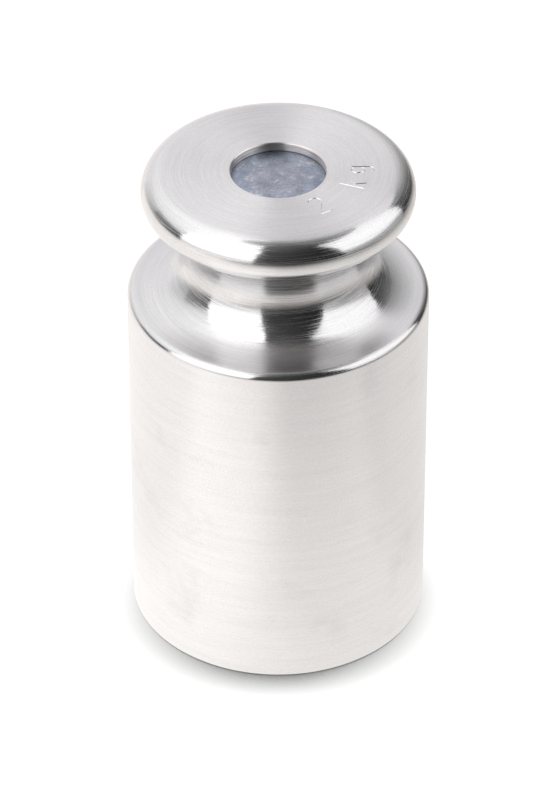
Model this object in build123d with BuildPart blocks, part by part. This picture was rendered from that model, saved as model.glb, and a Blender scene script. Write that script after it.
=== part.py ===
"""Two kilogram knob weight with a sealed adjusting cavity.

The weight is one turned piece of stainless steel: a plain cylinder, a neck
that is one sweeping curve from the shoulder up to the knob, and a knob with a
round rim to lift it by. A cavity bored down its axis holds the lead slugs that
bring it to its nominal mass.
A slotted brass screw closes the cavity, and a lead seal driven into a groove
above the screw shows that nobody has opened it.

The origin is at the centre of the base, with +Z up the axis of the weight.
"""
import os
from math import pi, sqrt

from build123d import *

# ---- driving dimensions, in millimetres ----

# Body
body_diameter = 60.0
shoulder_height = 76.0
base_edge_chamfer = 0.5
shoulder_edge_radius = 1.5

# Neck, measured where it is narrowest
neck_diameter = 36.0

# Knob: its rim is a full round as high as the knob is thick
knob_diameter = 54.0
knob_thickness = 9.3
overall_height = 103.9

# Recess in the top of the knob, and the lead seal at the bottom of it
recess_diameter = 18.8
recess_depth = 1.9
recess_lip_chamfer = 0.2
seal_thickness = 2.5
seal_groove_diameter = 20.4
seal_groove_width = 1.0

# Closing screw, M16 x 1.5: the thread itself is drawn at its nominal diameter
thread_diameter = 16.0
thread_length = 9.0
plug_length = 7.0
plug_chamfer = 0.5
slot_width = 2.0
slot_depth = 2.4

# Adjusting cavity, bored flat-bottomed, and the lengths of lead rod standing in it
cavity_diameter = 14.5
cavity_length = 42.0
slug_diameter = 6.5
slug_count = 3
slug_gap = 0.05

# Nominal mass in grams, and densities in grams per cubic millimetre
nominal_mass = 2000.0
steel_density = 7.95e-3
brass_density = 8.5e-3
lead_density = 11.34e-3

# ---- sizes that follow ----

body_radius = body_diameter / 2
neck_radius = neck_diameter / 2
rim_radius = knob_thickness / 2
rim_centre = Vector(knob_diameter / 2 - rim_radius, overall_height - rim_radius)

# The neck is one arc that touches the shoulder, the neck diameter and the rim of the knob
rim_overhang = rim_centre.X - neck_radius
rim_rise = rim_centre.Y - shoulder_height
reach = rim_overhang + rim_rise + rim_radius
neck_arc_radius = reach - sqrt(reach**2 - rim_overhang**2 - rim_rise**2 + rim_radius**2)
neck_arc_centre = Vector(neck_radius + neck_arc_radius, shoulder_height + neck_arc_radius)
neck_meets_rim = rim_centre + (neck_arc_centre - rim_centre).normalized() * rim_radius

recess_radius = recess_diameter / 2
seal_top = overall_height - recess_depth
seal_floor = seal_top - seal_thickness
seal_groove_middle = seal_floor + seal_thickness / 2

thread_radius = thread_diameter / 2
cavity_radius = cavity_diameter / 2
cavity_floor = seal_floor - thread_length - cavity_length
slug_radius = slug_diameter / 2
slug_ring_radius = cavity_radius - slug_radius - slug_gap

# ---- weight body: one turned piece ----

with BuildPart() as weight_body:
    # Half of the outline, from the middle of the base to the middle of the top
    with BuildSketch(Plane.XZ):
        with BuildLine():
            base = Line((0, 0), (body_radius - base_edge_chamfer, 0))
            base_edge = Line(base @ 1, (body_radius, base_edge_chamfer))
            side = Line(base_edge @ 1, (body_radius, shoulder_height - shoulder_edge_radius))
            shoulder_edge = RadiusArc(
                side @ 1, (body_radius - shoulder_edge_radius, shoulder_height), -shoulder_edge_radius
            )
            shoulder = Line(shoulder_edge @ 1, (neck_arc_centre.X, shoulder_height))
            neck = ThreePointArc(shoulder @ 1, (neck_radius, neck_arc_centre.Y), neck_meets_rim)
            rim = ThreePointArc(neck @ 1, (knob_diameter / 2, rim_centre.Y), (rim_centre.X, overall_height))
            top = Line(rim @ 1, (0, overall_height))
            Line(top @ 1, (0, 0))
        make_face()
    revolve(axis=Axis.Z)

    # Recess for the seal, and the threaded bore and adjusting cavity below it
    with Locations((0, 0, overall_height)):
        CounterBoreHole(
            radius=thread_radius,
            counter_bore_radius=recess_radius,
            counter_bore_depth=recess_depth + seal_thickness,
            depth=recess_depth + seal_thickness + thread_length,
        )
        Hole(radius=cavity_radius, depth=overall_height - cavity_floor)

    # Groove in the recess wall that the seal is driven into
    with BuildSketch(Plane.XZ):
        with Locations((0, seal_groove_middle)):
            Rectangle(seal_groove_diameter / 2, seal_groove_width, align=(Align.MIN, Align.CENTER))
    revolve(axis=Axis.Z, mode=Mode.SUBTRACT)

    # The mouth of the recess is deburred
    recess_mouth = weight_body.edges().filter_by(GeomType.CIRCLE).group_by(Axis.Z)[-1].sort_by(SortBy.RADIUS)[0]
    chamfer(recess_mouth, recess_lip_chamfer)

weight_body.part.label = "weight_body"

# ---- lead seal: a disc with a rib round it that fills the groove ----

with BuildPart() as lead_seal:
    with BuildSketch(Plane.XY.offset(seal_floor)):
        Circle(recess_radius)
    extrude(amount=seal_thickness)
    with BuildSketch(Plane.XY.offset(seal_groove_middle)):
        Circle(seal_groove_diameter / 2)
    extrude(amount=seal_groove_width / 2, both=True)

lead_seal.part.label = "lead_seal"

# ---- closing screw, flush with the floor of the recess ----

with BuildPart() as cavity_screw_plug:
    with BuildSketch(Plane.XY.offset(seal_floor - plug_length)):
        Circle(thread_radius)
    extrude(amount=plug_length)
    chamfer(cavity_screw_plug.edges().filter_by(GeomType.CIRCLE), plug_chamfer)
    with BuildSketch(Plane.XY.offset(seal_floor)):
        Rectangle(thread_diameter, slot_width)
    extrude(amount=-slot_depth, mode=Mode.SUBTRACT)

cavity_screw_plug.part.label = "cavity_screw_plug"

# ---- adjusting slugs: lead rod cut to bring the weight to its nominal mass ----

mass_before_adjusting = (
    weight_body.part.volume * steel_density
    + lead_seal.part.volume * lead_density
    + cavity_screw_plug.part.volume * brass_density
)
slug_volume = (nominal_mass - mass_before_adjusting) / lead_density / slug_count
slug_length = slug_volume / (pi * slug_radius**2)
print(f"neck arc radius {neck_arc_radius:.3f} mm, meets the rim at {neck_meets_rim}")
print(f"before adjusting: {mass_before_adjusting:.2f} g, each slug {slug_length:.2f} mm long")

with BuildPart() as adjusting_slugs:
    with BuildSketch(Plane.XY.offset(cavity_floor)):
        with PolarLocations(slug_ring_radius, slug_count):
            Circle(slug_radius)
    extrude(amount=slug_length)

adjusting_slugs.part.label = "adjusting_slugs"

# ---- files ----

os.makedirs("parts", exist_ok=True)
export_step(weight_body.part, "parts/weight_body.step")
export_step(lead_seal.part, "parts/lead_seal.step")
export_step(cavity_screw_plug.part, "parts/cavity_screw_plug.step")
export_step(adjusting_slugs.part, "parts/adjusting_slugs.step")
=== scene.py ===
"""Dresses a two kilogram calibration weight: polished and ground steel, an engraved value and a lead seal."""
from math import atan2, cos, degrees, pi, radians, sin, sqrt

import bmesh
import bpy
from bpy.props import FloatProperty, FloatVectorProperty, IntProperty, PointerProperty
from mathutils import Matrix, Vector, noise


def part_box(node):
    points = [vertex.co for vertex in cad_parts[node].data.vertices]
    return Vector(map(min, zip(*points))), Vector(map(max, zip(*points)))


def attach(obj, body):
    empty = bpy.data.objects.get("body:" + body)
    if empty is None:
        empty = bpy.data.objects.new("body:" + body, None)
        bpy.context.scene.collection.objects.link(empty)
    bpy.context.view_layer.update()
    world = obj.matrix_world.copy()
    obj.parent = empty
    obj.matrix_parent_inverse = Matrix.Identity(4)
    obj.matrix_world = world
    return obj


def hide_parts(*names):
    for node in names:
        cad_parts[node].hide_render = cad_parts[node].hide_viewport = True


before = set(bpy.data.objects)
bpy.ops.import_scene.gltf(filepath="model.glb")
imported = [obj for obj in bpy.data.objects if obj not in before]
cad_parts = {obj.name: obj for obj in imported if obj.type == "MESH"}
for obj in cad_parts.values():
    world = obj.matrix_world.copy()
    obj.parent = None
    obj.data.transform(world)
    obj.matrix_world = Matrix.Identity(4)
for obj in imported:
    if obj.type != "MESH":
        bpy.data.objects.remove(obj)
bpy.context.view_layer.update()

bl_info = {
    "name": "Calibration Weight",
    "version": (1, 0, 0),
    "blender": (4, 5, 0),
    "location": "View3D > Sidebar > Weight",
    "description": "Builds a stainless steel calibration weight with an engraved value and a lead seal",
    "category": "Object",
}

MM = 0.001
BODY = "root"
# Points closer together than this are one, and edges bent more than this are sharp
MERGE_DISTANCE = 0.001 * MM
SHARP_ANGLE = radians(25)

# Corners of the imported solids, which the sizes below come from
_, WEIGHT_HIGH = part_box("weight_body")
SEAL_LOW, SEAL_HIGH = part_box("lead_seal")
_, PLUG_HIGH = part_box("cavity_screw_plug")
SLUGS_LOW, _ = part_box("adjusting_slugs")


def linear(hex_colour):
    """An sRGB hex colour as linear red, green and blue."""
    channels = [int(hex_colour[i : i + 2], 16) / 255 for i in (1, 3, 5)]
    return tuple(c / 12.92 if c <= 0.04045 else ((c + 0.055) / 1.055) ** 2.4 for c in channels)


def fill_inputs(tree, node, inputs):
    """Links each input of a node to a socket, or gives it a value."""
    for socket, value in inputs.items():
        if isinstance(value, bpy.types.NodeSocket):
            tree.links.new(value, node.inputs[socket])
        else:
            node.inputs[socket].default_value = value


def add_node(tree, kind, inputs=None, **settings):
    """Adds a node, gives it its settings, and fills its inputs."""
    node = tree.nodes.new(kind)
    for name, value in settings.items():
        setattr(node, name, value)
    fill_inputs(tree, node, inputs or {})
    return node


# ---------------------------------------------------------------- properties


class WeightShape(bpy.types.PropertyGroup):
    """Sizes of the turned body."""

    shoulder_height: FloatProperty(
        name="Shoulder height", description="Height of the cylinder", default=76.0 * MM, unit="LENGTH"
    )
    shoulder_edge: FloatProperty(
        name="Shoulder edge", description="Rounding of the shoulder's edge", default=1.5 * MM, unit="LENGTH"
    )
    base_edge: FloatProperty(
        name="Base edge", description="Bevel round the base", default=0.5 * MM, unit="LENGTH"
    )
    neck_radius: FloatProperty(
        name="Neck radius", description="Radius of the narrowest neck", default=18.0 * MM, unit="LENGTH"
    )
    knob_radius: FloatProperty(
        name="Knob radius", description="Radius of the lifting knob", default=27.0 * MM, unit="LENGTH"
    )
    knob_thickness: FloatProperty(
        name="Knob thickness", description="Height of the knob's round rim", default=9.3 * MM, unit="LENGTH"
    )
    recess_radius: FloatProperty(
        name="Recess radius", description="Radius of the seal's recess", default=9.4 * MM, unit="LENGTH"
    )
    recess_lip: FloatProperty(
        name="Recess lip", description="Bevel round the mouth of the recess", default=0.2 * MM, unit="LENGTH"
    )
    groove_width: FloatProperty(
        name="Seal groove", description="Width of the seal's groove", default=1.0 * MM, unit="LENGTH"
    )
    thread_length: FloatProperty(
        name="Thread length", description="Length of the threaded bore", default=9.0 * MM, unit="LENGTH"
    )
    cavity_radius: FloatProperty(
        name="Cavity radius", description="Radius of the adjusting cavity", default=7.25 * MM, unit="LENGTH"
    )
    facets: IntProperty(name="Facets", description="Facets round the axis", default=256, min=32)


class WeightMarking(bpy.types.PropertyGroup):
    """The nominal value engraved in the knob."""

    height: FloatProperty(
        name="Height", description="Height of the characters", default=5.3 * MM, unit="LENGTH"
    )
    stroke_width: FloatProperty(
        name="Stroke width", description="Width of the engraved groove", default=0.28 * MM, unit="LENGTH"
    )
    stroke_depth: FloatProperty(
        name="Stroke depth", description="Depth of the engraved groove", default=0.14 * MM, unit="LENGTH"
    )


class WeightFinish(bpy.types.PropertyGroup):
    """Colours and tool marks of the metals."""

    steel: FloatVectorProperty(
        name="Steel", description="Colour of the stainless steel", subtype="COLOR", default=linear("#DCDBDC")
    )
    ground: FloatVectorProperty(
        name="Ground steel", description="Colour of the side", subtype="COLOR", default=linear("#DFDFE1")
    )
    lead: FloatVectorProperty(
        name="Lead", description="Colour of the lead", subtype="COLOR", default=linear("#9A9EAA")
    )
    brass: FloatVectorProperty(
        name="Brass", description="Colour of the brass screw", subtype="COLOR", default=linear("#DCBB72")
    )
    mark_spacing: FloatProperty(
        name="Mark spacing", description="Distance between tool marks", default=0.3 * MM, unit="LENGTH"
    )


class WeightStage(bpy.types.PropertyGroup):
    """Camera and floor."""

    camera_distance: FloatProperty(
        name="Camera distance", description="From the point looked at", default=1.0, unit="LENGTH"
    )
    camera_elevation: FloatProperty(
        name="Camera elevation", description="Above the horizon", default=radians(37.07), subtype="ANGLE"
    )
    target_height: FloatProperty(
        name="Target height", description="Height of the point looked at", default=47.61 * MM, unit="LENGTH"
    )
    target_side: FloatProperty(
        name="Target side", description="Sideways, of the point looked at", default=-0.36 * MM, unit="LENGTH"
    )
    focal_length: FloatProperty(
        name="Focal length", description="In millimetres, on a 36 mm sensor", default=222.606
    )
    floor: FloatVectorProperty(
        name="Floor", description="Colour of the floor", subtype="COLOR", default=linear("#E7E7E7")
    )


# ---------------------------------------------------------------- finishes


def new_material(name):
    """A material, its node tree and its Principled shader."""
    material = bpy.data.materials.new(name)
    material.use_nodes = True
    tree = material.node_tree
    return material, tree, tree.nodes["Principled BSDF"]


def maths(tree, operation, *values, **settings):
    """The result of a Math node."""
    node = add_node(tree, "ShaderNodeMath", dict(enumerate(values)), operation=operation, **settings)
    return node.outputs["Value"]


def vector_maths(tree, operation, *vectors):
    """The result of a Vector Math node."""
    node = add_node(tree, "ShaderNodeVectorMath", dict(enumerate(vectors)), operation=operation)
    return node.outputs["Value" if operation in ("DOT_PRODUCT", "LENGTH") else "Vector"]


def scaled(tree, vector, factor):
    """A vector or a colour times a factor."""
    node = add_node(tree, "ShaderNodeVectorMath", {0: vector, "Scale": factor}, operation="SCALE")
    return node.outputs["Vector"]


def mixed(tree, factor, colour, other):
    """A colour that goes over into another."""
    node = add_node(tree, "ShaderNodeMix", {"Factor": factor, 6: colour, 7: other}, data_type="RGBA")
    return node.outputs[2]


def between(tree, value, low, high, to_low, to_high, smooth=False):
    """The value brought from one range into another, and kept inside it."""
    ranged = add_node(
        tree,
        "ShaderNodeMapRange",
        {"Value": value, "From Min": low, "From Max": high, "To Min": to_low, "To Max": to_high},
        interpolation_type="SMOOTHSTEP" if smooth else "LINEAR",
    )
    return ranged.outputs["Result"]


def swing(tree, value, amount):
    """Noise as a change of up to an amount either way."""
    return between(tree, value, 0.25, 0.75, -amount, amount)


def speckle(tree, size, detail, roughness=0.5):
    """Noise whose largest spots have a size."""
    place = add_node(tree, "ShaderNodeTexCoord").outputs["Object"]
    spots = add_node(
        tree,
        "ShaderNodeTexNoise",
        {"Vector": place, "Scale": 1 / size, "Detail": detail, "Roughness": roughness},
    )
    return spots.outputs["Fac"]


def lathe_place(tree):
    """Radius, height, and the cosine and sine of the angle round the axis."""
    place = add_node(tree, "ShaderNodeTexCoord").outputs["Object"]
    split = add_node(tree, "ShaderNodeSeparateXYZ", {"Vector": place})
    flat = add_node(tree, "ShaderNodeCombineXYZ", {"X": split.outputs["X"], "Y": split.outputs["Y"]})
    radius = vector_maths(tree, "LENGTH", flat.outputs["Vector"])
    outwards = vector_maths(tree, "NORMALIZE", flat.outputs["Vector"])
    around = add_node(tree, "ShaderNodeSeparateXYZ", {"Vector": outwards})
    return radius, split.outputs["Z"], around.outputs["X"], around.outputs["Y"]


def tool_marks(tree, place, spacing, breaks, detail=2.0):
    """Noise that changes at every spacing across the marks and a few times a turn, as value and colour."""
    radius, height, cosine, sine = place
    section = add_node(tree, "ShaderNodeCombineXYZ", {"X": radius, "Y": height})
    across = scaled(tree, section.outputs["Vector"], 1 / spacing)
    lift = add_node(tree, "ShaderNodeCombineXYZ", {"Z": maths(tree, "MULTIPLY", cosine, breaks)})
    marks = add_node(
        tree,
        "ShaderNodeTexNoise",
        {
            "Vector": vector_maths(tree, "ADD", across, lift.outputs["Vector"]),
            "W": maths(tree, "MULTIPLY", sine, breaks),
            "Scale": 1.0,
            "Detail": detail,
        },
        noise_dimensions="4D",
    )
    return marks.outputs["Fac"], marks.outputs["Color"]


def brush_across(tree, shader, anisotropy):
    """Spreads reflections across marks that run round the axis."""
    tangent = add_node(tree, "ShaderNodeTangent", direction_type="RADIAL", axis="Z")
    quarter_turn = 0.25
    fill_inputs(
        tree,
        shader,
        {
            "Tangent": tangent.outputs["Tangent"],
            "Anisotropic": anisotropy,
            "Anisotropic Rotation": quarter_turn,
        },
    )


def stray_normal(tree, marks, amount):
    """The normal turned a little by each pass of the tool, so that reflections break into streaks."""
    centred = vector_maths(tree, "SUBTRACT", marks, (0.5, 0.5, 0.5))
    normal = add_node(tree, "ShaderNodeNewGeometry").outputs["Normal"]
    moved = vector_maths(tree, "ADD", normal, scaled(tree, centred, amount))
    return vector_maths(tree, "NORMALIZE", moved)


def streak_tint(tree, colour, marks):
    """A colour that each pass of the tool leaves a touch warmer or cooler."""
    swings, floor = (0.08, 0.06, 0.12), (0.96, 0.97, 0.94)
    tint = vector_maths(tree, "MULTIPLY_ADD", marks, swings, floor)
    return vector_maths(tree, "MULTIPLY", colour, tint)


def satin_share(tree, height, shape):
    """How satin the steel is at a height: 1 on the flats of knob and shoulder, and 0 on the curves."""
    top, shoulder = WEIGHT_HIGH.z, shape.shoulder_height
    knob = between(tree, height, top - 0.25 * MM, top - 0.01 * MM, 0.0, 1.0, smooth=True)
    above = between(tree, height, shoulder + 2.3 * MM, shoulder + 0.6 * MM, 0.0, 1.0, smooth=True)
    below = between(tree, height, shoulder - 0.3 * MM, shoulder - 0.02 * MM, 0.0, 1.0)
    return maths(tree, "MAXIMUM", knob, maths(tree, "MINIMUM", above, below))


def turned_steel(finish, shape):
    """Stainless steel turned and polished: crisp streaky reflections on curves, satin rings on flats."""
    material, tree, shader = new_material("lathe_polished_stainless_steel")
    place = lathe_place(tree)
    fine, fine_colour = tool_marks(tree, place, 0.45 * finish.mark_spacing, 2.0)
    broad, _ = tool_marks(tree, place, 1.5 * finish.mark_spacing, 1.5, detail=4.0)
    grain = speckle(tree, 0.25 * MM, 1.0)
    rings = maths(tree, "ADD", swing(tree, fine, 0.08), between(tree, broad, 0.3, 0.7, 0.97, 1.02))
    tone = maths(tree, "ADD", rings, swing(tree, grain, 0.06))
    # The deeper marks are rougher, so they show as light lines in dark reflections
    polish = between(tree, fine, 0.46, 0.7, 0.14, 0.36)
    satin = satin_share(tree, place[1], shape)
    roughness = add_node(tree, "ShaderNodeMix", {"Factor": satin, "A": polish, "B": 0.32})
    fill_inputs(
        tree,
        shader,
        {
            "Base Color": streak_tint(tree, scaled(tree, finish.steel, tone), fine_colour),
            "Roughness": roughness.outputs["Result"],
            "Normal": stray_normal(tree, fine_colour, 0.07),
            "Metallic": 1.0,
        },
    )
    brush_across(tree, shader, 0.88)
    return material


def ground_steel(finish):
    """Stainless steel ground between centres: an even satin, fine lines round the body, faint smudges."""
    material, tree, shader = new_material("ground_stainless_steel")
    place = lathe_place(tree)
    fine, fine_colour = tool_marks(tree, place, 0.6 * finish.mark_spacing, 3.0, detail=3.0)
    bands, _ = tool_marks(tree, place, 5 * finish.mark_spacing, 1.5, detail=4.0)
    smudges = between(tree, speckle(tree, 14 * MM, 5.0, 0.6), 0.56, 0.72, 1.0, 0.92)
    grain = speckle(tree, 0.35 * MM, 1.0)
    lines = maths(tree, "ADD", swing(tree, fine, 0.045), between(tree, bands, 0.3, 0.7, 0.975, 1.025))
    tone = maths(tree, "MULTIPLY_ADD", lines, smudges, swing(tree, grain, 0.035))
    fill_inputs(
        tree,
        shader,
        {
            "Base Color": scaled(tree, finish.ground, tone),
            "Roughness": between(tree, fine, 0.3, 0.7, 0.23, 0.29),
            "Normal": stray_normal(tree, fine_colour, 0.04),
            "Metallic": 1.0,
        },
    )
    brush_across(tree, shader, 0.5)
    return material


def bored_steel(finish):
    """Stainless steel bored with a single point tool: coarse rings that break up what the wall mirrors."""
    material, tree, shader = new_material("bored_stainless_steel")
    place = lathe_place(tree)
    rings, ring_colour = tool_marks(tree, place, 0.5 * finish.mark_spacing, 1.5)
    # Painted shade: the wall's colour is darkened in the corner where it meets the lead
    corner = between(tree, place[1], SEAL_HIGH.z, SEAL_HIGH.z + 0.25 * MM, 0.12, 1.0)
    tone = maths(tree, "MULTIPLY", between(tree, rings, 0.35, 0.65, 0.68, 1.2), corner)
    warmth = (1.06, 1.0, 0.94)
    fill_inputs(
        tree,
        shader,
        {
            "Base Color": vector_maths(tree, "MULTIPLY", scaled(tree, finish.steel, tone), warmth),
            "Roughness": 0.36,
            "Normal": stray_normal(tree, ring_colour, 0.3),
            "Metallic": 1.0,
        },
    )
    brush_across(tree, shader, 0.9)
    return material


def cut_steel(finish):
    """Steel freshly cut by a graver: narrow bright facets that catch the light."""
    material, tree, shader = new_material("graver_cut_stainless_steel")
    tone = between(tree, speckle(tree, 0.4 * MM, 2.0), 0.3, 0.7, 0.95, 1.1)
    colour = scaled(tree, finish.steel, tone)
    fill_inputs(tree, shader, {"Base Color": colour, "Roughness": 0.25, "Metallic": 1.0})
    return material


def driven_lead(finish):
    """Lead driven in with a punch and dulled by air: a mottled grey-blue, bluer at its edge, pale flecks."""
    material, tree, shader = new_material("driven_lead")
    blotches, grain, crumbs = [speckle(tree, size * MM, 4.0, 0.65) for size in (3.4, 0.5, 0.9)]
    patches = between(tree, blotches, 0.32, 0.68, 0.8, 1.22)
    tone = maths(tree, "MULTIPLY", patches, between(tree, grain, 0.3, 0.7, 0.8, 1.2))
    stain = between(tree, lathe_place(tree)[0], 4.5 * MM, 9.4 * MM, 0.0, 0.4)
    stained = mixed(tree, stain, (*finish.lead, 1), (*linear("#8CA3C0"), 1))
    # Flecks scraped bright lie in loose clusters
    flecks = between(tree, crumbs, 0.53, 0.68, 0.0, 1.0)
    clusters = between(tree, blotches, 0.47, 0.62, 0.1, 0.85)
    flecked = mixed(tree, maths(tree, "MULTIPLY", flecks, clusters), stained, (*linear("#D6CCCB"), 1))
    bump = add_node(tree, "ShaderNodeBump", {"Height": grain, "Distance": 0.02 * MM})
    fill_inputs(
        tree,
        shader,
        {
            "Base Color": scaled(tree, flecked, tone),
            "Roughness": between(tree, blotches, 0.3, 0.7, 0.44, 0.32),
            "Normal": bump.outputs["Normal"],
            "Metallic": 1.0,
        },
    )
    return material


def turned_brass(finish):
    """Free-cutting brass, turned and threaded: warm yellow with fine rings."""
    material, tree, shader = new_material("turned_brass")
    rings, _ = tool_marks(tree, lathe_place(tree), finish.mark_spacing, 2.0)
    bump = add_node(tree, "ShaderNodeBump", {"Height": rings, "Distance": 0.005 * MM})
    fill_inputs(
        tree,
        shader,
        {
            "Base Color": scaled(tree, finish.brass, between(tree, rings, 0.3, 0.7, 0.94, 1.05)),
            "Roughness": 0.3,
            "Normal": bump.outputs["Normal"],
            "Metallic": 1.0,
        },
    )
    return material


# ---------------------------------------------------------------- turned body

# Places of the steel finishes in the body's material list
TURNED, GROUND, BORED, CUT = range(4)
# Points along the round of the shoulder, the neck and the rim
EDGE_STEPS, NECK_STEPS, RIM_STEPS = 14, 56, 54


def arc(centre, radius, start, end, steps):
    """Points round an arc, from start to end in degrees, both ends included."""
    angles = [radians(start + (end - start) * i / steps) for i in range(steps + 1)]
    return [(centre[0] + radius * cos(a), centre[1] + radius * sin(a)) for a in angles]


def neck_arc(shape, rim_centre):
    """Radius and centre of the one arc that touches the shoulder, the narrowest neck and the knob's rim."""
    rim = shape.knob_thickness / 2
    overhang = rim_centre.x - shape.neck_radius
    rise = rim_centre.y - shape.shoulder_height
    reach = overhang + rise + rim
    radius = reach - sqrt(reach**2 - overhang**2 - rise**2 + rim**2)
    return radius, Vector((shape.neck_radius + radius, shape.shoulder_height + radius))


def groove_heights(shape):
    """Bottom and top of the groove that holds the seal, halfway up the seal."""
    middle = (SEAL_LOW.z + SEAL_HIGH.z) / 2
    return middle - shape.groove_width / 2, middle + shape.groove_width / 2


def body_outline(shape):
    """Radius and height of the outline, from the middle of the base round to the bottom of the cavity."""
    body_radius, top = WEIGHT_HIGH.x, WEIGHT_HIGH.z
    shoulder, edge = shape.shoulder_height, shape.shoulder_edge
    rim = shape.knob_thickness / 2
    rim_centre = Vector((shape.knob_radius - rim, top - rim))
    neck, neck_centre = neck_arc(shape, rim_centre)
    to_neck = neck_centre - rim_centre
    meeting = degrees(atan2(to_neck.y, to_neck.x))
    groove_low, groove_high = groove_heights(shape)
    thread_end = SEAL_LOW.z - shape.thread_length
    # Rings close beside an edge keep the flats beside it flat
    beside = 0.1 * MM

    points = [(0, 0), (body_radius - shape.base_edge - beside, 0)]
    points += [(body_radius - shape.base_edge, 0), (body_radius, shape.base_edge)]
    points += [(body_radius, shape.base_edge + beside), (body_radius, shoulder - edge - beside)]
    points += arc((body_radius - edge, shoulder - edge), edge, 0, 90, EDGE_STEPS)
    points += arc(neck_centre, neck, 270, meeting + 180, NECK_STEPS)
    points += arc(rim_centre, rim, meeting, 90, RIM_STEPS)
    points += [(rim_centre[0] - beside, top), (shape.recess_radius + shape.recess_lip + beside, top)]
    points += [(shape.recess_radius + shape.recess_lip, top), (shape.recess_radius, top - shape.recess_lip)]
    points += [(shape.recess_radius, groove_high), (SEAL_HIGH.x, groove_high)]
    points += [(SEAL_HIGH.x, groove_low), (shape.recess_radius, groove_low)]
    points += [(shape.recess_radius, SEAL_LOW.z), (PLUG_HIGH.x, SEAL_LOW.z)]
    points += [(PLUG_HIGH.x, thread_end), (shape.cavity_radius, thread_end)]
    points += [(shape.cavity_radius, SLUGS_LOW.z), (0, SLUGS_LOW.z)]
    return points


def finish_of(face, shape):
    """Which finish a face of the body has, by where it is."""
    centre = face.calc_center_median()
    # Well inside the neck, all but the base and the top is the bore
    above_base, below_top = 0.5 * MM, WEIGHT_HIGH.z - MERGE_DISTANCE
    if centre.xy.length < shape.neck_radius - MM and above_base < centre.z < below_top:
        return BORED
    if centre.z < shape.shoulder_height - shape.shoulder_edge:
        return GROUND
    return TURNED


def turn_outline(outline, steps):
    """A mesh turned round the axis from an outline's radii and heights."""
    bm = bmesh.new()
    verts = [bm.verts.new((radius, 0, height)) for radius, height in outline]
    edges = [bm.edges.new(pair) for pair in zip(verts, verts[1:])]
    bmesh.ops.spin(
        bm, geom=verts + edges, cent=(0, 0, 0), axis=(0, 0, 1), angle=2 * pi, steps=steps, use_merge=True
    )
    bmesh.ops.remove_doubles(bm, verts=bm.verts, dist=MERGE_DISTANCE)
    bmesh.ops.recalc_face_normals(bm, faces=bm.faces)
    return bm


def link_object(name, bm, materials):
    """A new object with the mesh and the materials."""
    mesh = bpy.data.meshes.new(name)
    bm.to_mesh(mesh)
    bm.free()
    for material in materials:
        mesh.materials.append(material)
    new_object = bpy.data.objects.new(name, mesh)
    bpy.context.scene.collection.objects.link(new_object)
    return new_object


def smooth_mesh(mesh):
    """Shades a mesh smooth but for its sharp edges."""
    mesh.shade_smooth()
    mesh.set_sharp_from_angle(angle=SHARP_ANGLE)


class WEIGHT_OT_turn_body(bpy.types.Operator):
    """Turns the body, knob, recess and cavity in one piece"""

    bl_idname = "weight.turn_body"
    bl_label = "Turn Body"
    bl_options = {"REGISTER", "UNDO"}

    def execute(self, context):
        shape, finish = context.scene.weight_shape, context.scene.weight_finish
        bm = turn_outline(body_outline(shape), shape.facets)
        for face in bm.faces:
            face.material_index = finish_of(face, shape)
        materials = [turned_steel(finish, shape), ground_steel(finish)]
        materials += [bored_steel(finish), cut_steel(finish)]
        piece = link_object("turned_body", bm, materials)
        smooth_mesh(piece.data)
        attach(piece, BODY)
        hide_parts("weight_body")
        return {"FINISHED"}


# ---------------------------------------------------------------- engraved value


# The groove of a straight stroke runs out over this share of the stroke, to this share of its full size
RUN_OUT_LENGTH = 0.1
RUN_OUT_SIZE = 0.3
# How far a cutter stands proud of the top, as a share of its depth
CUTTER_PROUD = 0.5


def straight(start, end):
    """A straight stroke, with points near its ends where the groove runs out."""
    start, end = Vector(start), Vector(end)
    run_out = (end - start) * RUN_OUT_LENGTH
    return [start, start + run_out, end - run_out, end]


def figure_two(height):
    """The strokes of a 2, centred, with a round bow, a slanting back and a foot."""
    bow = arc((0.0, 0.25 * height), 0.25 * height, 170, -35, 14)
    foot = (-0.24 * height, -0.5 * height)
    return [[Vector(point) for point in bow + [foot]], straight(foot, (0.27 * height, -0.5 * height))]


def letter_k(height):
    """The strokes of a k, centred on its stem."""
    return [
        straight((0, 0.52 * height), (0, -0.52 * height)),
        straight((0.34 * height, 0.18 * height), (0, -0.2 * height)),
        straight((0.13 * height, -0.05 * height), (0.38 * height, -0.48 * height)),
    ]


def letter_g(height):
    """The strokes of a g, centred on its bowl, with an open tail."""
    bowl = [(0.2 * x, 0.25 * y) for x, y in arc((0, 0), height, 25, 335, 20)]
    tail = arc((0.03 * height, -0.42 * height), 0.17 * height, 0, -150, 10)
    stem = [(0.2 * height, 0.27 * height), (0.2 * height, 0.2 * height), (0.2 * height, -0.3 * height)]
    return [[Vector(point) for point in bowl], [Vector(point) for point in stem + tail]]


# Each character's strokes, its angle round the knob and its distance from the axis
CHARACTERS = [
    (figure_two, radians(-57.0), 14.4 * MM),
    (letter_k, radians(-20.8), 15.2 * MM),
    (letter_g, radians(0.5), 15.6 * MM),
]


def place_on_knob(path, angle, distance):
    """A stroke laid on the knob's top, with the top of its character towards the axis."""
    outwards = Vector((cos(angle), sin(angle), 0))
    onwards = Vector((-sin(angle), cos(angle), 0))
    height = Vector((0, 0, WEIGHT_HIGH.z))
    return [outwards * (distance - point.y) + onwards * point.x + height for point in path]


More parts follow.
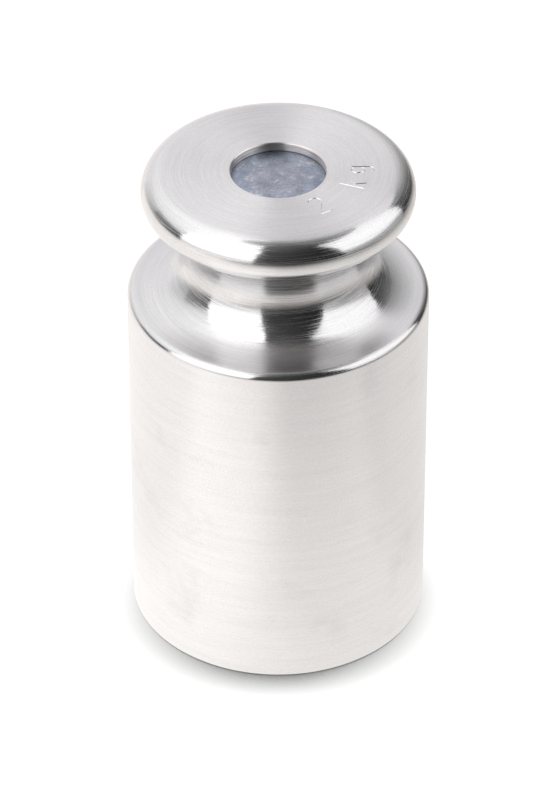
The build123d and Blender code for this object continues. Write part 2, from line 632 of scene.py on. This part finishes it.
def add_cutter(bm, path, width, depth):
    """Adds a V-shaped cutter along a stroke, with its point below the top and its ends running out."""
    proud = CUTTER_PROUD * depth
    first, cap = None, None
    for i, point in enumerate(path):
        before = (point - path[max(i - 1, 0)]).normalized()
        after = (path[min(i + 1, len(path) - 1)] - point).normalized()
        along = (before + after).normalized()
        share = RUN_OUT_SIZE if i in (0, len(path) - 1) else 1.0
        side = Vector((-along.y, along.x, 0)) * share * width / 2 * (depth + proud) / depth
        corners = [
            point + side + Vector((0, 0, proud)),
            point - Vector((0, 0, depth * share)),
            point - side + Vector((0, 0, proud)),
        ]
        if first is None:
            first = [bm.verts.new(corner) for corner in corners]
            cap = bm.faces.new(first)
            continue
        cap = bmesh.ops.extrude_discrete_faces(bm, faces=[cap])["faces"][0]
        for vert, corner in zip(cap.verts, corners):
            vert.co = corner
    bm.faces.new(reversed(first))


class WEIGHT_OT_engrave_value(bpy.types.Operator):
    """Engraves the nominal value in the top of the knob"""

    bl_idname = "weight.engrave_value"
    bl_label = "Engrave Value"
    bl_options = {"REGISTER", "UNDO"}

    def execute(self, context):
        marking = context.scene.weight_marking
        body = bpy.data.objects["turned_body"]
        bm = bmesh.new()
        for strokes, angle, distance in CHARACTERS:
            for path in strokes(marking.height):
                on_knob = place_on_knob(path, angle, distance)
                add_cutter(bm, on_knob, marking.stroke_width, marking.stroke_depth)
        bmesh.ops.recalc_face_normals(bm, faces=bm.faces)
        for face in bm.faces:
            face.material_index = CUT
        cutter = link_object("graver", bm, body.data.materials)
        smooth_mesh(cutter.data)
        boolean = body.modifiers.new("engraving", "BOOLEAN")
        boolean.object = cutter
        boolean.operation = "DIFFERENCE"
        boolean.solver = "EXACT"
        boolean.use_self = True
        plain = body.data
        engraved = bpy.data.meshes.new_from_object(body.evaluated_get(context.evaluated_depsgraph_get()))
        body.modifiers.remove(boolean)
        body.data = engraved
        bpy.data.objects.remove(cutter)
        bpy.data.meshes.remove(plain)
        engraved.name = "turned_body"
        smooth_mesh(engraved)
        return {"FINISHED"}


# ---------------------------------------------------------------- lead seal and what is under it


# Rings and facets of the net in which the dents of the punch show
SEAL_RINGS = 36
SEAL_FACETS = 128
# The dents: how deep they lie on the whole, and how far apart the large and the small ones are
DENT_DEPTH = 0.03 * MM
LARGE_DENTS = 2.2 * MM
SMALL_DENTS = 0.9 * MM


class WEIGHT_OT_drive_seal(bpy.types.Operator):
    """Drives the lead seal into the recess"""

    bl_idname = "weight.drive_seal"
    bl_label = "Drive Seal"
    bl_options = {"REGISTER", "UNDO"}

    def execute(self, context):
        shape, finish = context.scene.weight_shape, context.scene.weight_finish
        low, high = groove_heights(shape)
        edge = shape.recess_radius
        outline = [(0, SEAL_LOW.z), (edge, SEAL_LOW.z), (edge, low)]
        outline += [(SEAL_HIGH.x, low), (SEAL_HIGH.x, high), (edge, high)]
        outline += [(edge * (1 - i / SEAL_RINGS), SEAL_HIGH.z) for i in range(SEAL_RINGS + 1)]
        bm = turn_outline(outline, SEAL_FACETS)
        for vert in bm.verts:
            if vert.co.z > SEAL_HIGH.z - MERGE_DISTANCE:
                dent = noise.noise(vert.co / LARGE_DENTS) + 0.5 * noise.noise(vert.co / SMALL_DENTS)
                vert.co.z -= DENT_DEPTH * (1 + dent)
        piece = link_object("driven_seal", bm, [driven_lead(finish)])
        smooth_mesh(piece.data)
        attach(piece, BODY)
        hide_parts("lead_seal")
        return {"FINISHED"}


class WEIGHT_OT_finish_inner_parts(bpy.types.Operator):
    """Gives the brass screw and the lead slugs in the cavity their finish"""

    bl_idname = "weight.finish_inner_parts"
    bl_label = "Finish Inner Parts"
    bl_options = {"REGISTER", "UNDO"}

    def execute(self, context):
        finish = context.scene.weight_finish
        lead = bpy.data.materials["driven_lead"]
        for node, material in (("cavity_screw_plug", turned_brass(finish)), ("adjusting_slugs", lead)):
            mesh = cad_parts[node].data
            mesh.materials.clear()
            mesh.materials.append(material)
        return {"FINISHED"}


# ---------------------------------------------------------------- stage


# The light tent, seen from the height of the knob. Each panel has its left and right azimuths at its foot and
# at its head, its lowest and highest elevation, and how brightly its four corners glow, in the same order.
# Azimuths run from the camera's side towards +X.
TENT_CENTRE = Vector((0, 0, 0.09))
TENT_RADIUS = 0.6
TENT_SEGMENTS = 16
TENT_PANELS = {
    "left_diffuser": ((-80, -19, -81, -16), (3, 50), (1.75, 1.75, 1.7, 1.7)),
    "left_diffuser_head": ((-81, -16, -82, -26), (50, 76), (1.7, 1.7, 1.6, 1.6)),
    "left_skirt": ((-80, -19.8, -80, -19), (-9, 3), (0.85, 0.85, 0.95, 0.95)),
    "upper_left_diffuser": ((-172, -82, -172, -82), (18, 76), (1.0, 1.0, 1.4, 1.6)),
    "left_gap": ((-112, -80, -112, -80), (-9, 12), (0.32, 0.03, 0.32, 0.04)),
    "left_gap_head": ((-112, -80, -112, -82), (12, 33), (0.32, 0.04, 0.95, 0.65)),
    "left_fade": ((-140, -112, -140, -112), (-9, 30), (0.9, 0.32, 1.0, 0.9)),
    "right_diffuser": ((50, 112, 44, 130), (7, 60), (1.4, 1.4, 1.45, 1.3)),
    "right_skirt": ((51.8, 112, 50, 112), (-9, 7), (0.42, 0.42, 0.5, 0.45)),
    "right_flag": ((112, 142, 116, 142), (-9, 38), (0.0, 0.0, 0.02, 0.45)),
    "right_fade": ((142, 174, 142, 174), (-9, 38), (0.0, 0.7, 0.45, 1.0)),
    "front_flag": ((-20.5, 53, -16, 45.1), (-20, 50), (0.04, 0.0, 0.09, 0.02)),
    "front_head": ((-16, 45.1, -31.4, 40.7), (50, 90), (0.09, 0.02, 0.22, 0.16)),
    "right_head": ((44, 134, 40.7, 134), (60, 90), (0.1, 0.33, 0.16, 0.18)),
    "rear_head": ((134, 188, 134, 188), (58, 90), (0.9, 1.0, 0.16, 0.2)),
    "left_head": ((-172, -26, -172, -31.4), (76, 90), (0.6, 0.45, 0.2, 0.16)),
}


def blend(corners, across, up):
    """The value between four corners given as foot left, foot right, head left and head right."""
    foot = corners[0] + (corners[1] - corners[0]) * across
    head = corners[2] + (corners[3] - corners[2]) * across
    return foot + (head - foot) * up


def empty_tree(block):
    """The node tree of a material or a world, without nodes."""
    block.use_nodes = True
    block.node_tree.nodes.clear()
    return block.node_tree


def tent_cloth():
    """White cloth lit from behind, which glows at the level painted on each panel."""
    material = bpy.data.materials.new("lit_white_cloth")
    tree = empty_tree(material)
    level = add_node(tree, "ShaderNodeAttribute", attribute_name="level")
    glow = add_node(tree, "ShaderNodeEmission", {"Strength": level.outputs["Fac"]})
    add_node(tree, "ShaderNodeOutputMaterial", {"Surface": glow.outputs["Emission"]})
    return material


def hang_panel(name, azimuths, elevations, levels, cloth):
    """A curved panel of the light tent, that reflections see and the camera doesn't."""
    bm = bmesh.new()
    bmesh.ops.create_grid(bm, x_segments=TENT_SEGMENTS, y_segments=TENT_SEGMENTS, size=0.5)
    level = bm.verts.layers.float.new("level")
    for vert in bm.verts:
        across, up = vert.co.x + 0.5, vert.co.y + 0.5
        azimuth = radians(blend(azimuths, across, up))
        elevation = radians(elevations[0] + (elevations[1] - elevations[0]) * up)
        vert[level] = blend(levels, across, up)
        outwards = Vector((sin(azimuth) * cos(elevation), -cos(azimuth) * cos(elevation), sin(elevation)))
        vert.co = TENT_CENTRE + TENT_RADIUS * outwards
    panel = link_object(name, bm, [cloth])
    panel.visible_camera = False


# How brightly reflections see the floor: along each direction its light goes from one level to another,
# between two distances in metres. It is brighter on the left, and falls off to the front, right and back.
FLOOR_LIGHT = (
    ((1, 0, 0), -0.035, 0.02, 1.34, 1.07),
    ((1, 0, 0), 0.1, 0.34, 1.0, 0.45),
    ((0.35, -1, 0), 0.02, 0.44, 1.0, 0.08),
    ((1, 1, 0), 0.02, 0.06, 1.0, 0.9),
    ((-1, 1, 0), 0.02, 0.065, 1.0, 0.9),
)
FLOOR_CORNERS = ((-1.5, -1.2, 0), (1.5, -1.2, 0), (1.5, 1.5, 0), (-1.5, 1.5, 0))
# Reflections see the floor a little warmer than the camera does
REFLECTED_TINT = (1, 0.965, 0.93, 1)
CAMERA_TINT = (1, 0.995, 0.99, 1)
# The shadow at the foot of the weight: how far off the rays look for what shades the floor, and which way
# they lean. They lean to the back, because the shadow lies on the camera's side.
SHADOW_REACH = 8 * MM
SHADOW_LEAN = (0, 0.93, 0.36)
SHADOW_SAMPLES = 16
# The share of open rays at which the shadow is darkest and at which it ends, and how it eases off in between
SHADOW_FROM, SHADOW_TO = 0.33, 0.85
SHADOW_EASE = 0.47
# How bright the camera sees the open floor, and how much of what it sees there is glow
FLOOR_WHITE = 1.14
FLOOR_GLOW = 0.85


def board_finish(colour):
    """Matt white board: even white and a shadow for the camera, and patches of light for reflections."""
    material = bpy.data.materials.new("matt_white_board")
    tree = empty_tree(material)
    board = add_node(tree, "ShaderNodeBsdfDiffuse", {"Color": (*colour, 1)})
    path = add_node(tree, "ShaderNodeLightPath")
    camera = path.outputs["Is Camera Ray"]

    lean = add_node(tree, "ShaderNodeCombineXYZ", dict(zip("XYZ", SHADOW_LEAN)))
    crease = add_node(
        tree,
        "ShaderNodeAmbientOcclusion",
        {"Distance": SHADOW_REACH, "Normal": lean.outputs["Vector"]},
        samples=SHADOW_SAMPLES,
    )
    open_share = between(tree, crease.outputs["AO"], SHADOW_FROM, SHADOW_TO, 0.0, 1.0)
    eased = maths(tree, "POWER", open_share, SHADOW_EASE)
    seen_light = between(tree, eased, 0.0, 1.0, 0.0, FLOOR_WHITE)

    place = add_node(tree, "ShaderNodeTexCoord").outputs["Object"]
    reflected_light = 1.0
    for direction, start, end, before, after in FLOOR_LIGHT:
        along = vector_maths(tree, "DOT_PRODUCT", place, direction)
        step = between(tree, along, start, end, before, after, smooth=True)
        reflected_light = maths(tree, "MULTIPLY", step, reflected_light)

    strength = add_node(tree, "ShaderNodeMix", {"Factor": camera, "A": reflected_light, "B": seen_light})
    tint = mixed(tree, camera, REFLECTED_TINT, CAMERA_TINT)
    glow = add_node(tree, "ShaderNodeEmission", {"Color": tint, "Strength": strength.outputs["Result"]})
    mirrored = maths(tree, "ADD", path.outputs["Is Glossy Ray"], path.outputs["Is Transmission Ray"])
    share = maths(tree, "MULTIPLY_ADD", camera, FLOOR_GLOW, mirrored, use_clamp=True)
    both = add_node(
        tree, "ShaderNodeMixShader", {0: share, 1: board.outputs["BSDF"], 2: glow.outputs["Emission"]}
    )
    add_node(tree, "ShaderNodeOutputMaterial", {"Surface": both.outputs["Shader"]})
    return material


def build_floor(colour):
    """A pale floor that the camera sees as white, with the weight's shadow in front of it."""
    bm = bmesh.new()
    bm.faces.new([bm.verts.new(corner) for corner in FLOOR_CORNERS])
    link_object("floor", bm, [board_finish(colour)])


# How brightly the surround lights the object, and how brightly the camera sees it
ROOM_LIGHT, ROOM_WHITE = 1.0, 1.05
ROOM_TINT = (1, 0.98, 1, 1)


def build_world():
    """A white surround that lights at a plain level and that the camera sees as white."""
    world = bpy.data.worlds.new("white_room")
    tree = empty_tree(world)
    path = add_node(tree, "ShaderNodeLightPath")
    strength = between(tree, path.outputs["Is Camera Ray"], 0.0, 1.0, ROOM_LIGHT, ROOM_WHITE)
    sky = add_node(tree, "ShaderNodeBackground", {"Color": ROOM_TINT, "Strength": strength})
    add_node(tree, "ShaderNodeOutputWorld", {"Surface": sky.outputs["Background"]})
    bpy.context.scene.world = world


class WEIGHT_OT_build_stage(bpy.types.Operator):
    """Sets the camera, the light tent, the floor and the white surround"""

    bl_idname = "weight.build_stage"
    bl_label = "Build Stage"
    bl_options = {"REGISTER", "UNDO"}

    def execute(self, context):
        stage = context.scene.weight_stage
        camera = bpy.data.objects.new("camera", bpy.data.cameras.new("camera"))
        context.scene.collection.objects.link(camera)
        back = Vector((0, -cos(stage.camera_elevation), sin(stage.camera_elevation))) * stage.camera_distance
        camera.location = Vector((stage.target_side, 0, stage.target_height)) + back
        camera.rotation_euler = (pi / 2 - stage.camera_elevation, 0, 0)
        camera.data.lens = stage.focal_length
        camera.data.sensor_width = 36
        camera.data.clip_start = 0.01
        context.scene.camera = camera

        cloth = tent_cloth()
        for name, (azimuths, elevations, levels) in TENT_PANELS.items():
            hang_panel(name, azimuths, elevations, levels, cloth)
        build_floor(stage.floor)
        build_world()
        context.scene.view_settings.view_transform = "Standard"
        return {"FINISHED"}


# ---------------------------------------------------------------- panel and registration


class WEIGHT_PT_panel(bpy.types.Panel):
    """Settings and steps of the calibration weight"""

    bl_label = "Calibration Weight"
    bl_idname = "WEIGHT_PT_panel"
    bl_space_type = "VIEW_3D"
    bl_region_type = "UI"
    bl_category = "Weight"

    def draw(self, context):
        for title, group in (
            ("Shape", context.scene.weight_shape),
            ("Marking", context.scene.weight_marking),
            ("Finish", context.scene.weight_finish),
            ("Stage", context.scene.weight_stage),
        ):
            box = self.layout.box()
            box.label(text=title)
            for name in group.__annotations__:
                box.prop(group, name)
        for operator in OPERATORS:
            self.layout.operator(operator.bl_idname)


GROUPS = (WeightShape, WeightMarking, WeightFinish, WeightStage)
OPERATORS = (
    WEIGHT_OT_build_stage,
    WEIGHT_OT_turn_body,
    WEIGHT_OT_engrave_value,
    WEIGHT_OT_drive_seal,
    WEIGHT_OT_finish_inner_parts,
)
CLASSES = (*GROUPS, *OPERATORS, WEIGHT_PT_panel)


def register():
    for one in CLASSES:
        bpy.utils.register_class(one)
    bpy.types.Scene.weight_shape = PointerProperty(type=WeightShape)
    bpy.types.Scene.weight_marking = PointerProperty(type=WeightMarking)
    bpy.types.Scene.weight_finish = PointerProperty(type=WeightFinish)
    bpy.types.Scene.weight_stage = PointerProperty(type=WeightStage)


def unregister():
    del bpy.types.Scene.weight_stage
    del bpy.types.Scene.weight_finish
    del bpy.types.Scene.weight_marking
    del bpy.types.Scene.weight_shape
    for one in reversed(CLASSES):
        bpy.utils.unregister_class(one)


def main():
    register()
    bpy.ops.weight.build_stage()
    bpy.ops.weight.turn_body()
    bpy.ops.weight.engrave_value()
    bpy.ops.weight.drive_seal()
    bpy.ops.weight.finish_inner_parts()


if __name__ == "__main__":
    main()
